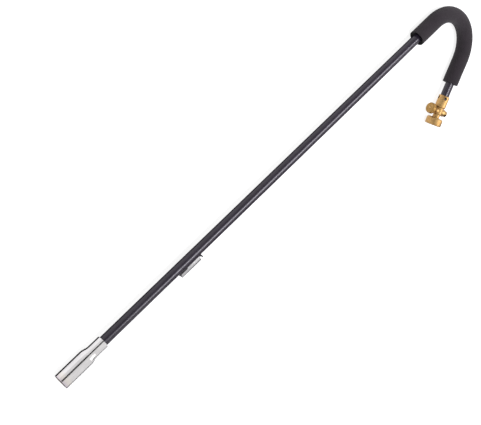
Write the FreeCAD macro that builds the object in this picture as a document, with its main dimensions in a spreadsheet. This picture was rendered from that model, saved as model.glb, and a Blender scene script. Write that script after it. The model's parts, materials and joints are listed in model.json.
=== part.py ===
"""Cane-handled propane torch for a screw-on gas cylinder, lying flat.

The origin is the centre of the burner mouth. +X runs up the straight tube to the handle,
the crook curls towards -Y, and +Z is up. Sizes are millimetres and degrees.

Three working frames are used. The tube frame has its Z along the straight tube. The valve
frame starts at the mouth of the brass socket, with Z running out to the cylinder. The cross
frame starts where the needle's axis crosses the valve's axis, with Z towards the knob.
"""
import FreeCAD
import Part
import Sketcher
import os
import re

SIZES = (
    # Steel tube: straight run, crook and the short leg that carries the valve
    ("tube_outer_radius", 8.0),
    ("tube_wall", 1.2),
    ("tube_straight", 788.4),
    ("crook_radius", 62.5),
    ("crook_turn", 146.1),
    ("end_leg", 69.9),
    # Burner bell: swaged stainless tube on a steel collar
    ("bell_outer_radius", 12.9),
    ("bell_wall", 0.9),
    ("bell_straight", 50.0),
    ("bell_taper", 13.5),
    ("bell_neck", 21.0),
    ("collar_wall", 1.3),
    ("collar_inset", 0.6),
    # Flame holder: a plate with a central hole and a ring of ports, seated in the taper
    ("holder_setback", 0.5),
    ("holder_thickness", 2.0),
    ("holder_centre_radius", 2.5),
    ("holder_port_radius", 1.3),
    ("holder_port_circle", 7.6),
    ("holder_port_count", 8),
    # Foam grip round the crook
    ("foam_thickness", 6.4),
    ("foam_on_straight", 48.6),
    ("foam_on_leg", 45.0),
    # Brass socket: holds the tube's end and lets air in through cross-drilled holes
    ("socket_wall", 2.0),
    ("socket_seat", 12.0),
    ("mixing_chamber", 6.0),
    ("socket_floor", 4.0),
    ("air_hole_radius", 2.7),
    ("air_hole_station", 5.0),
    ("air_hole_angle", 60.0),
    ("edge_break", 0.6),
    # Valve body, along the valve's axis
    ("nipple_radius", 5.5),
    ("barrel_radius", 8.0),
    ("barrel_length", 13.0),
    ("cross_station", 7.4),
    ("valve_neck_radius", 6.5),
    ("valve_neck_length", 7.2),
    ("spud_radius", 5.0),
    ("spud_length", 5.0),
    ("inlet_bore_radius", 3.0),
    ("inlet_bore_depth", 9.3),
    ("outlet_bore_radius", 2.5),
    ("outlet_bore_depth", 6.0),
    ("gas_way_radius", 1.0),
    ("gas_way_offset", 2.6),
    # Valve body, along the needle's axis
    ("knob_tilt", -10.0),
    ("cross_boss_radius", 6.8),
    ("boss_to_plug", 13.2),
    ("boss_to_knob", 9.8),
    ("spigot_radius", 4.6),
    ("spigot_length", 3.5),
    ("seat_height", 1.2),
    ("seat_depth", 2.2),
    ("packing_radius", 3.4),
    ("packing_height", 3.0),
    ("running_clearance", 0.05),
    # Needle, spindle and packing nut
    ("spindle_thread_radius", 2.5),
    ("spindle_start", 3.5),
    ("spindle_thread_length", 3.7),
    ("stem_radius", 2.0),
    ("tip_bore_depth", 2.5),
    ("tip_shank_radius", 0.9),
    ("tip_head_radius", 1.9),
    ("tip_point_radius", 0.3),
    ("tip_slope", 1.75),
    ("seat_clearance", 0.08),
    ("nut_across_flats", 11.0),
    ("nut_lift", 0.2),
    ("nut_roof", 0.9),
    # Knob and its screw
    ("knob_radius", 9.8),
    ("knob_thickness", 8.0),
    ("knob_gap", 1.4),
    ("knob_socket_depth", 4.5),
    ("knob_web", 1.7),
    ("flute_radius", 0.7),
    ("flute_rise", 0.25),
    ("flute_count", 24),
    ("screw_head_radius", 2.6),
    ("screw_head_height", 1.5),
    ("screw_shank_radius", 1.25),
    ("screw_grip", 3.6),
    ("screw_hole_clearance", 0.25),
    ("screw_slot_width", 0.7),
    ("screw_slot_depth", 0.7),
    # Plug that closes the far end of the cross drilling
    ("plug_across_flats", 10.6),
    ("plug_head", 5.3),
    ("plug_thread_radius", 2.6),
    ("plug_thread_length", 7.5),
    ("washer_radius", 5.2),
    ("washer_thickness", 0.4),
    # Gas jet and filter
    ("jet_flange_radius", 3.6),
    ("jet_flange", 2.0),
    ("jet_thread_length", 4.0),
    ("jet_nose_radius", 2.2),
    ("jet_nose_length", 7.5),
    ("jet_nose_cone", 3.5),
    ("jet_tip_radius", 1.3),
    ("jet_bore_radius", 0.8),
    ("jet_orifice_radius", 0.2),
    ("jet_orifice_length", 1.0),
    # Coupling for the cylinder: a one-inch thread, 20 threads to the inch
    ("coupling_wall", 2.95),
    ("coupling_base", 2.5),
    ("coupling_bevel", 2.0),
    ("coupling_recess", 3.0),
    ("coupling_thread_length", 8.0),
    ("coupling_thread_radius", 12.05),
    ("coupling_relief", 0.85),
    ("gasket_thickness", 2.0),
    ("gasket_side_gap", 0.3),
    ("pin_base_set", 1.5),
    ("pin_base_thickness", 1.2),
    ("pin_radius", 0.9),
    ("pin_tip_short", 0.2),
    ("pin_port_radius", 0.45),
    ("pin_port_count", 3),
    ("screen_gap", 0.8),
    ("screen_thickness", 0.8),
    # Channel clip welded under the tube, over a bracket held by two blind rivets
    ("clip_start", 240.3),
    ("clip_length", 40.7),
    ("clip_half_width", 6.0),
    ("clip_depth", 8.3),
    ("clip_sheet", 1.0),
    ("clip_relief", 14.4),
    ("relief_gap", 0.2),
    ("bracket_sheet", 1.2),
    ("bracket_overhang", 2.6),
    ("bracket_side_gap", 0.1),
    ("foot_saddle", 1.8),
    ("tab_offset", 3.8),
    ("tab_sheet", 1.5),
    ("tab_height", 5.8),
    ("rivet_radius", 1.6),
    ("rivet_head_radius", 2.8),
    ("rivet_head_height", 1.0),
    ("rivet_crown_share", 0.7),
    ("rivet_tail_radius", 2.3),
    ("rivet_tail_height", 0.8),
    ("rivet_tail_gap", 0.05),
    ("rivet_first", 21.7),
    ("rivet_pitch", 12.5),
)

DOC = FreeCAD.newDocument("propane_torch")
SHEET = DOC.addObject("Spreadsheet::Sheet", "Sizes")
for row_number, (alias, value) in enumerate(SIZES, start=1):
    SHEET.set("A%d" % row_number, alias)
    SHEET.set("B%d" % row_number, "%g" % value)
    SHEET.setAlias("B%d" % row_number, alias)
DOC.recompute()

ALIASES = {alias for alias, value in SIZES}

# Stations along the tube, from the burner mouth
BURNER_LENGTH = "(bell_straight + bell_taper + bell_neck)"
COLLAR_START = "(bell_straight + bell_taper)"
CROOK_START = "(%s + tube_straight)" % BURNER_LENGTH
TUBE_INNER = "(tube_outer_radius - tube_wall)"
NECK_INNER = "(tube_outer_radius + collar_wall)"
BELL_INNER = "(bell_outer_radius - bell_wall)"
TAPER_FALL = "((%s - %s) / bell_taper)" % (BELL_INNER, NECK_INNER)

# Stations along the valve's axis, from the socket's mouth
CHAMBER_END = "(socket_seat + mixing_chamber)"
SOCKET_END = "(%s + socket_floor)" % CHAMBER_END
BARREL_END = "(%s + barrel_length)" % SOCKET_END
COUPLING_START = "(%s + valve_neck_length)" % BARREL_END
SPUD_END = "(%s + spud_length)" % COUPLING_START
RECESS_FLOOR = "(%s + coupling_base)" % COUPLING_START
THREAD_START = "(%s + coupling_recess)" % RECESS_FLOOR
COUPLING_END = "(%s + coupling_thread_length)" % THREAD_START
CROSS = "(%s + cross_station)" % SOCKET_END
OUTLET_END = "(%s + outlet_bore_depth)" % CHAMBER_END
INLET_END = "(%s - inlet_bore_depth)" % SPUD_END

# Stations along the needle's axis, from the valve's axis
SPIGOT_END = "(boss_to_knob + spigot_length)"
PACKING_START = "(%s - packing_height)" % SPIGOT_END
NUT_START = "(boss_to_knob + nut_lift)"
NUT_END = "(%s + nut_roof)" % SPIGOT_END
KNOB_BACK = "(%s + knob_gap)" % NUT_END
KNOB_FACE = "(%s + knob_thickness)" % KNOB_BACK
STEM_END = "(%s + knob_socket_depth)" % KNOB_BACK
SCREW_SEAT = "(%s + knob_web)" % STEM_END
THREAD_BORE = "(spindle_thread_radius + running_clearance)"
STEM_BORE = "(stem_radius + running_clearance)"
THREAD_TOP = "(spindle_start + spindle_thread_length)"
TIP_POINT = "(seat_height + seat_clearance - (gas_way_radius - tip_point_radius) * tip_slope)"
WASHER_START = "(-boss_to_plug - washer_thickness)"


def bound(text):
    """Give every size named in the text its address in the sheet."""
    return re.sub(r"[a-z_]+", lambda word: "Sizes." + word[0] if word[0] in ALIASES else word[0], text)


def size(text):
    """Work out the present value of an expression of sizes."""
    return float(SHEET.evalExpression(bound(text)))


def put(item, where):
    """Bind an object's placement to the sheet."""
    item.setExpression("Placement", bound(where))


def placed(point, turn):
    """Placement text for a point (three texts) and a yaw, pitch and roll (three texts)."""
    return "placement(vector(%s; %s; %s); rotation(%s; %s; %s))" % (tuple(point) + tuple(turn))


def valve_point(station, reach="0"):
    """A point at a station on the valve's axis, moved out towards the knob by reach."""
    leg = "(end_leg + %s)" % station
    side = "(%s * cos(knob_tilt))" % reach
    along = "(%s + crook_radius * sin(crook_turn) + %s * cos(crook_turn) - %s * sin(crook_turn))"
    across = "(-crook_radius * (1 - cos(crook_turn)) - %s * sin(crook_turn) - %s * cos(crook_turn))"
    up = "(%s * sin(knob_tilt))" % reach
    return along % (CROOK_START, leg, side), across % (leg, side), up


TUBE_FRAME = placed(("0", "0", "0"), ("0", "90", "0"))
VALVE_TURN = ("-crook_turn", "-90", "180")
VALVE_FRAME = placed(valve_point("0"), VALVE_TURN)
CROSS_FRAME = placed(valve_point(CROSS), ("-crook_turn", "0", "90 - knob_tilt"))


def new_body(name, where):
    body = DOC.addObject("PartDesign::Body", name)
    put(body, where)
    return body


def new_sketch(body, name, plane_role):
    sketch = body.newObject("Sketcher::SketchObject", name)
    plane = [item for item in body.Origin.OriginFeatures if item.Role == plane_role][0]
    sketch.AttachmentSupport = [(plane, "")]
    sketch.MapMode = "FlatFace"
    return sketch


def pin_point(sketch, geometry, point, across, along, name):
    """Fix one point of a sketch at two distances from the sketch's origin."""
    for kind, text in (("DistanceX", across), ("DistanceY", along)):
        index = sketch.addConstraint(Sketcher.Constraint(kind, -1, 1, geometry, point, size(text)))
        sketch.renameConstraint(index, name + kind[-1])
        sketch.setExpression("Constraints." + name + kind[-1], bound(text))


def add_circle(sketch, across, along, radius, name):
    centre = FreeCAD.Vector(size(across), size(along), 0)
    circle = Part.Circle(centre, FreeCAD.Vector(0, 0, 1), size(radius))
    index = sketch.addGeometry(circle, False)
    pin_point(sketch, index, 3, across, along, name)
    limit = sketch.addConstraint(Sketcher.Constraint("Radius", index, size(radius)))
    sketch.renameConstraint(limit, name + "Radius")
    sketch.setExpression("Constraints." + name + "Radius", bound(radius))


def add_outline(sketch, corners):
    """Close straight lines through the corners, each corner bound to the sheet."""
    points = [FreeCAD.Vector(size(across), size(along), 0) for across, along in corners]
    count = len(points)
    for index in range(count):
        sketch.addGeometry(Part.LineSegment(points[index], points[(index + 1) % count]), False)
    for index in range(count):
        sketch.addConstraint(Sketcher.Constraint("Coincident", index, 2, (index + 1) % count, 1))
    for index, (across, along) in enumerate(corners):
        pin_point(sketch, index, 1, across, along, "corner%d" % index)


def turned(name, where, corners):
    """A piece turned about its frame's Z: corners are (radius, station) texts."""
    body = new_body(name, where)
    sketch = new_sketch(body, name + "_profile", "XZ_Plane")
    add_outline(sketch, corners)
    spin = body.newObject("PartDesign::Revolution", name + "_turning")
    spin.Profile = sketch
    spin.ReferenceAxis = (sketch, ["V_Axis"])
    spin.Angle = 360
    body.Tip = spin
    return body


def ring_of_holes(body, name, hole_radius, circle_radius, count):
    """Cut one hole parallel to the body's Z, then repeat it round the axis."""
    sketch = new_sketch(body, name + "_outline", "XY_Plane")
    add_circle(sketch, circle_radius, "0", hole_radius, "hole")
    hole = body.newObject("PartDesign::Pocket", name)
    hole.Profile = sketch
    hole.Type = "ThroughAll"
    hole.Midplane = True
    DOC.recompute()
    pattern = body.newObject("PartDesign::PolarPattern", name + "_ring")
    pattern.Originals = [hole]
    pattern.Axis = (sketch, ["N_Axis"])
    pattern.Angle = 360
    pattern.setExpression("Occurrences", bound(count))
    body.Tip = pattern
    DOC.recompute()
    if pattern.Shape.Volume >= hole.Shape.Volume:
        raise ValueError(name + " cuts nothing")


def rod(name, radius, length, where):
    """A round bar or drilling."""
    cylinder = DOC.addObject("Part::Cylinder", name)
    cylinder.setExpression("Radius", bound(radius))
    cylinder.setExpression("Height", bound(length))
    put(cylinder, where)
    return cylinder


def block(name, lows, spans):
    """A box from its lowest corner and its three sides."""
    box = DOC.addObject("Part::Box", name)
    for side, span in zip(("Length", "Width", "Height"), spans):
        box.setExpression(side, bound(span))
    put(box, placed(lows, ("0", "0", "0")))
    return box


def joined(name, pieces):
    fusion = DOC.addObject("Part::MultiFuse", name)
    fusion.Shapes = pieces
    fusion.Refine = True
    return fusion


def drilled(name, base, tools):
    """Cut the tools out of the base, and make sure that each one removes metal."""
    DOC.recompute()
    for tool in tools:
        if base.Shape.common(tool.Shape).Volume <= 0:
            raise ValueError(tool.Label + " misses " + base.Label)
    if len(tools) > 1:
        cutter = joined(name + "_cutter", tools)
    else:
        cutter = tools[0]
    cut = DOC.addObject("Part::Cut", name)
    cut.Base = base
    cut.Tool = cutter
    return cut


def hexagon(name, across_flats, start, length, chamfer_end):
    """A hexagon bar on the cross frame's axis, its corners turned off at one end."""
    bar = DOC.addObject("Part::Prism", name + "_bar")
    bar.Polygon = 6
    bar.setExpression("Circumradius", bound("%s / 2 / cos(30)" % across_flats))
    bar.setExpression("Height", bound(length))
    put(bar, placed(valve_point(CROSS, start), ("-crook_turn", "0", "90 - knob_tilt")))
    corner = "(%s / 2 / cos(30))" % across_flats
    end = "(%s + %s)" % (start, length)
    first, last = (corner, "(%s / 2)" % across_flats)
    if chamfer_end == "start":
        first, last = last, first
    fall = "(%s * (1 / cos(30) - 1) / 2)" % across_flats
    lower = "(%s + %s)" % (start, fall) if chamfer_end == "start" else start
    upper = "(%s - %s)" % (end, fall) if chamfer_end == "end" else end
    corners = [("0", start), (first, start), (corner, lower), (corner, upper), (last, end), ("0", end)]
    if chamfer_end == "start":
        del corners[3]
    else:
        del corners[2]
    envelope = turned(name + "_envelope", CROSS_FRAME, corners)
    common = DOC.addObject("Part::Common", name + "_hexagon")
    common.Base = bar
    common.Tool = envelope
    return common


def swept(name, inner, outer, lead, tail, start):
    """A round sleeve along the crook, with straight runs of lead before it and tail after it."""
    body = new_body(name, placed((start, "0", "0"), ("0", "0", "0")))
    path = new_sketch(body, name + "_path", "XY_Plane")
    arc_end = ("%s + crook_radius * sin(crook_turn)" % lead, "-crook_radius * (1 - cos(crook_turn))")
    leg_end = ("%s + %s * cos(crook_turn)" % (arc_end[0], tail),
               "%s - %s * sin(crook_turn)" % (arc_end[1], tail))
    corners = [("0", "0"), (lead, "0"), arc_end, leg_end]
    points = [FreeCAD.Vector(size(across), size(along), 0) for across, along in corners]
    centre = FreeCAD.Vector(size(lead), -size("crook_radius"), 0)
    rim = Part.Circle(centre, FreeCAD.Vector(0, 0, 1), size("crook_radius"))
    path.addGeometry(Part.LineSegment(points[0], points[1]), False)
    path.addGeometry(Part.ArcOfCircle(rim, rim.parameter(points[2]), rim.parameter(points[1])), False)
    path.addGeometry(Part.LineSegment(points[2], points[3]), False)
    path.addConstraint(Sketcher.Constraint("Coincident", 0, 2, 1, 2))
    pin_point(path, 0, 1, "0", "0", "first")
    pin_point(path, 0, 2, lead, "0", "bend")
    pin_point(path, 1, 3, lead, "-crook_radius", "centre")
    pin_point(path, 2, 2, leg_end[0], leg_end[1], "last")
    index = path.addConstraint(Sketcher.Constraint("Tangent", 1, 1, 2, 1))
    path.renameConstraint(index, "runout")
    section = new_sketch(body, name + "_section", "YZ_Plane")
    add_circle(section, "0", "0", outer, "outer")
    add_circle(section, "0", "0", inner, "inner")
    DOC.recompute()
    pipe = body.newObject("PartDesign::AdditivePipe", name + "_pipe")
    pipe.Profile = section
    pipe.Spine = (path, [])
    body.Tip = pipe
    return body


def air_drills():
    """Two crossed drillings through the socket and the tube inside it make four air holes."""
    drills = []
    reach = "(tube_outer_radius + socket_wall + 2 * edge_break)"
    for number in range(2):
        angle = "(air_hole_angle + %d)" % (90 * number)
        start_along = "(%s * cos(%s))" % (reach, angle)
        along, across, up = valve_point("air_hole_station")
        point = ("%s + %s * sin(crook_turn)" % (along, start_along),
                 "%s + %s * cos(crook_turn)" % (across, start_along),
                 "-%s * sin(%s)" % (reach, angle))
        turn = ("-crook_turn", "0", "90 - %s" % angle)
        drills.append(rod("air_drill_%d" % number, "air_hole_radius", "2 * %s" % reach, placed(point, turn)))
    return drills


def rivet_places():
    return ["(clip_start + rivet_first + %d * rivet_pitch)" % number for number in range(2)]


def make_tube(air_holes):
    start = COLLAR_START
    lead = "(bell_neck + tube_straight)"
    blank = swept("tube_blank", TUBE_INNER, "tube_outer_radius", lead, "(end_leg + socket_seat)", start)
    drills = list(air_holes)
    for number, place in enumerate(rivet_places()):
        where = placed((place, "0", "0"), ("0", "0", "90"))
        drills.append(rod("rivet_drill_%d" % number, "rivet_radius", "2 * tube_outer_radius", where))
    drilled("main_tube", blank, drills)


def make_grip():
    start = "(%s - foam_on_straight)" % CROOK_START
    outer = "(tube_outer_radius + foam_thickness)"
    swept("foam_grip", "tube_outer_radius", outer, "foam_on_straight", "foam_on_leg", start)


def make_burner():
    neck_outer = "(%s + bell_wall)" % NECK_INNER
    turned("burner_bell", TUBE_FRAME, [
        (BELL_INNER, "0"), ("bell_outer_radius", "0"), ("bell_outer_radius", "bell_straight"),
        (neck_outer, COLLAR_START), (neck_outer, BURNER_LENGTH), (NECK_INNER, BURNER_LENGTH),
        (NECK_INNER, COLLAR_START), (BELL_INNER, "bell_straight")])
    collar_end = "(%s - collar_inset)" % BURNER_LENGTH
    turned("burner_collar", TUBE_FRAME, [
        ("tube_outer_radius", COLLAR_START), (NECK_INNER, COLLAR_START),
        (NECK_INNER, collar_end), ("tube_outer_radius", collar_end)])
    front = "(bell_straight + holder_setback)"
    back = "(%s + holder_thickness)" % front
    front_radius = "(%s - holder_setback * %s)" % (BELL_INNER, TAPER_FALL)
    back_radius = "(%s - holder_thickness * %s)" % (front_radius, TAPER_FALL)
    holder = turned("flame_holder", TUBE_FRAME, [
        ("holder_centre_radius", front), (front_radius, front),
        (back_radius, back), ("holder_centre_radius", back)])
    ring_of_holes(holder, "flame_port", "holder_port_radius", "holder_port_circle", "holder_port_count")


def make_socket(air_holes):
    outer = "(tube_outer_radius + socket_wall)"
    soft = "(%s - edge_break)" % outer
    blank = turned("socket_blank", VALVE_FRAME, [
        ("tube_outer_radius", "0"), (soft, "0"), (outer, "edge_break"),
        (outer, "%s - edge_break" % SOCKET_END), (soft, SOCKET_END), ("nipple_radius", SOCKET_END),
        ("nipple_radius", CHAMBER_END), (TUBE_INNER, CHAMBER_END),
        (TUBE_INNER, "socket_seat"), ("tube_outer_radius", "socket_seat")])
    drilled("mixer_socket", blank, air_holes)


def make_valve_body():
    along_valve = turned("valve_barrel", VALVE_FRAME, [
        ("0", CHAMBER_END), ("nipple_radius", CHAMBER_END), ("nipple_radius", SOCKET_END),
        ("barrel_radius", SOCKET_END), ("barrel_radius", "%s - edge_break" % BARREL_END),
        ("barrel_radius - edge_break", BARREL_END), ("valve_neck_radius", BARREL_END),
        ("valve_neck_radius", COUPLING_START), ("spud_radius", COUPLING_START),
        ("spud_radius", SPUD_END), ("0", SPUD_END)])
    along_needle = turned("cross_boss", CROSS_FRAME, [
        ("0", "-boss_to_plug"), ("cross_boss_radius - edge_break", "-boss_to_plug"),
        ("cross_boss_radius", "edge_break - boss_to_plug"),
        ("cross_boss_radius", "boss_to_knob - edge_break"),
        ("cross_boss_radius - edge_break", "boss_to_knob"), ("spigot_radius", "boss_to_knob"),
        ("spigot_radius", SPIGOT_END), ("0", SPIGOT_END)])
    solid = joined("valve_blank", [along_valve, along_needle])
    needle_bore = turned("needle_bore", CROSS_FRAME, [
        ("0", WASHER_START), ("plug_thread_radius", WASHER_START),
        ("plug_thread_radius", "seat_height - seat_depth"),
        ("gas_way_radius", "seat_height - seat_depth"), ("gas_way_radius", "seat_height"),
        (THREAD_BORE, "seat_height"), (THREAD_BORE, PACKING_START),
        ("packing_radius", PACKING_START), ("packing_radius", NUT_END), ("0", NUT_END)])
    outlet_bore = turned("outlet_bore", VALVE_FRAME, [
        ("0", "socket_seat"), ("outlet_bore_radius", "socket_seat"),
        ("outlet_bore_radius", OUTLET_END), ("0", OUTLET_END)])
    inlet_bore = turned("inlet_bore", VALVE_FRAME, [
        ("0", INLET_END), ("inlet_bore_radius", INLET_END),
        ("inlet_bore_radius", COUPLING_END), ("0", COUPLING_END)])
    outlet_way = rod("outlet_way", "gas_way_radius", "%s - %s" % (CROSS, OUTLET_END),
                     placed(valve_point(OUTLET_END, "-gas_way_offset"), VALVE_TURN))
    inlet_way = rod("inlet_way", "gas_way_radius", "%s - %s" % (INLET_END, CROSS),
                    placed(valve_point(CROSS, "gas_way_offset"), VALVE_TURN))
    drilled("valve_body", solid, [needle_bore, outlet_bore, inlet_bore, outlet_way, inlet_way])


def make_jet():
    flange_start = "(%s - jet_flange)" % CHAMBER_END
    tip = "(%s - jet_nose_length)" % flange_start
    thread_end = "(%s + jet_thread_length)" % CHAMBER_END
    turned("gas_jet", VALVE_FRAME, [
        ("jet_orifice_radius", tip), ("jet_tip_radius", tip), ("jet_nose_radius", "%s + jet_nose_cone" % tip),
        ("jet_nose_radius", flange_start), ("jet_flange_radius", flange_start),
        ("jet_flange_radius", CHAMBER_END), ("outlet_bore_radius", CHAMBER_END),
        ("outlet_bore_radius", thread_end), ("jet_bore_radius", thread_end),
        ("jet_bore_radius", "%s + jet_orifice_length" % tip),
        ("jet_orifice_radius", "%s + jet_orifice_length" % tip)])
    turned("jet_filter", VALVE_FRAME, [
        ("0", thread_end), ("outlet_bore_radius", thread_end),
        ("outlet_bore_radius", OUTLET_END), ("0", OUTLET_END)])


def make_needle():
    head_top = "(spindle_start - running_clearance)"
    cone_top = "(%s + (tip_head_radius - tip_point_radius) * tip_slope)" % TIP_POINT
    shank_end = "(spindle_start + tip_bore_depth - running_clearance)"
    turned("needle_tip", CROSS_FRAME, [
        ("0", TIP_POINT), ("tip_point_radius", TIP_POINT), ("tip_head_radius", cone_top),
        ("tip_head_radius", head_top), ("tip_shank_radius", head_top),
        ("tip_shank_radius", shank_end), ("0", shank_end)])
    tip_bore = "(tip_shank_radius + running_clearance)"
    tip_bore_end = "(spindle_start + tip_bore_depth)"
    screw_hole_end = "(%s - screw_grip)" % STEM_END
    turned("needle_spindle", CROSS_FRAME, [
        ("0", tip_bore_end), (tip_bore, tip_bore_end), (tip_bore, "spindle_start"),
        ("spindle_thread_radius", "spindle_start"), ("spindle_thread_radius", THREAD_TOP),
        ("stem_radius", THREAD_TOP), ("stem_radius", STEM_END), ("screw_shank_radius", STEM_END),
        ("screw_shank_radius", screw_hole_end), ("0", screw_hole_end)])
    turned("packing_ring", CROSS_FRAME, [
        (STEM_BORE, PACKING_START), ("packing_radius", PACKING_START),
        ("packing_radius", SPIGOT_END), (STEM_BORE, SPIGOT_END)])
    nut_blank = hexagon("nut", "nut_across_flats", NUT_START, "(%s - %s)" % (NUT_END, NUT_START), "end")
    nut_bore = turned("nut_bore", CROSS_FRAME, [
        ("0", "boss_to_knob"), ("spigot_radius", "boss_to_knob"), ("spigot_radius", SPIGOT_END),
        (STEM_BORE, SPIGOT_END), (STEM_BORE, KNOB_BACK), ("0", KNOB_BACK)])
    drilled("packing_nut", nut_blank, [nut_bore])


def make_knob():
    rim = "(knob_radius - edge_break)"
    screw_hole = "(screw_shank_radius + screw_hole_clearance)"
    knob = turned("knob", CROSS_FRAME, [
        ("stem_radius", KNOB_BACK), (rim, KNOB_BACK), ("knob_radius", "%s + edge_break" % KNOB_BACK),
        ("knob_radius", "%s - edge_break" % KNOB_FACE), (rim, KNOB_FACE),
        ("screw_head_radius", KNOB_FACE), ("screw_head_radius", SCREW_SEAT),
        (screw_hole, SCREW_SEAT), (screw_hole, STEM_END), ("stem_radius", STEM_END)])
    ring_of_holes(knob, "flute", "flute_radius", "knob_radius + flute_rise", "flute_count")
    head_top = "(%s + screw_head_height)" % SCREW_SEAT
    screw_end = "(%s - screw_grip)" % STEM_END
    screw_blank = turned("screw_blank", CROSS_FRAME, [
        ("0", screw_end), ("screw_shank_radius", screw_end), ("screw_shank_radius", SCREW_SEAT),
        ("screw_head_radius", SCREW_SEAT), ("screw_head_radius", head_top), ("0", head_top)])
    slot = DOC.addObject("Part::Box", "screw_slot")
    slot.setExpression("Length", bound("4 * screw_head_radius"))
    slot.setExpression("Width", bound("screw_slot_width"))
    slot.setExpression("Height", bound("2 * screw_slot_depth"))
    # The slot lies along the valve's axis, its floor one slot depth below the head's top.
    along, across, up = valve_point("(%s - 2 * screw_head_radius)" % CROSS,
                                    "(%s - screw_slot_depth)" % head_top)
    put(slot, placed((along, across, up), ("-crook_turn", "0", "90 - knob_tilt")))
    drilled("knob_screw", screw_blank, [slot])


def make_plug():
    head_start = "(%s - plug_head)" % WASHER_START
    head = hexagon("plug", "plug_across_flats", head_start, "plug_head", "start")
    shank = turned("plug_shank", CROSS_FRAME, [
        ("0", "%s - edge_break" % WASHER_START), ("plug_thread_radius", "%s - edge_break" % WASHER_START),
        ("plug_thread_radius", "plug_thread_length - boss_to_plug"),
        ("0", "plug_thread_length - boss_to_plug")])
    joined("valve_plug", [head, shank])
    turned("plug_washer", CROSS_FRAME, [
        ("plug_thread_radius", WASHER_START), ("washer_radius", WASHER_START),
        ("washer_radius", "-boss_to_plug"), ("plug_thread_radius", "-boss_to_plug")])


def make_coupling():
    outer = "(coupling_thread_radius + coupling_wall)"
    relief = "(coupling_thread_radius + coupling_relief)"
    turned("cylinder_coupling", VALVE_FRAME, [
        ("spud_radius", COUPLING_START), ("%s - coupling_bevel" % outer, COUPLING_START),
        (outer, "%s + coupling_bevel" % COUPLING_START), (outer, "%s - edge_break" % COUPLING_END),
        ("%s - edge_break" % outer, COUPLING_END), ("coupling_thread_radius", COUPLING_END),
        ("coupling_thread_radius", THREAD_START), (relief, THREAD_START), (relief, RECESS_FLOOR),
        ("spud_radius", RECESS_FLOOR)])
    gasket_top = "(%s + gasket_thickness)" % RECESS_FLOOR
    gasket_outer = "(coupling_thread_radius - gasket_side_gap)"
    turned("coupling_gasket", VALVE_FRAME, [
        ("spud_radius", RECESS_FLOOR), (gasket_outer, RECESS_FLOOR),
        (gasket_outer, gasket_top), ("spud_radius", gasket_top)])
    base_top = "(%s - pin_base_set)" % SPUD_END
    base_floor = "(%s - pin_base_thickness)" % base_top
    pin_tip = "(%s - pin_tip_short)" % THREAD_START
    pin = turned("depressor_pin", VALVE_FRAME, [
        ("0", base_floor), ("inlet_bore_radius", base_floor), ("inlet_bore_radius", base_top),
        ("pin_radius", base_top), ("pin_radius", pin_tip), ("0", pin_tip)])
    port_circle = "(inlet_bore_radius + pin_radius) / 2"
    ring_of_holes(pin, "gas_port", "pin_port_radius", port_circle, "pin_port_count")
    screen_top = "(%s - screen_gap)" % base_floor
    screen_floor = "(%s - screen_thickness)" % screen_top
    turned("inlet_screen", VALVE_FRAME, [
        ("0", screen_floor), ("inlet_bore_radius", screen_floor),
        ("inlet_bore_radius", screen_top), ("0", screen_top)])


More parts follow.
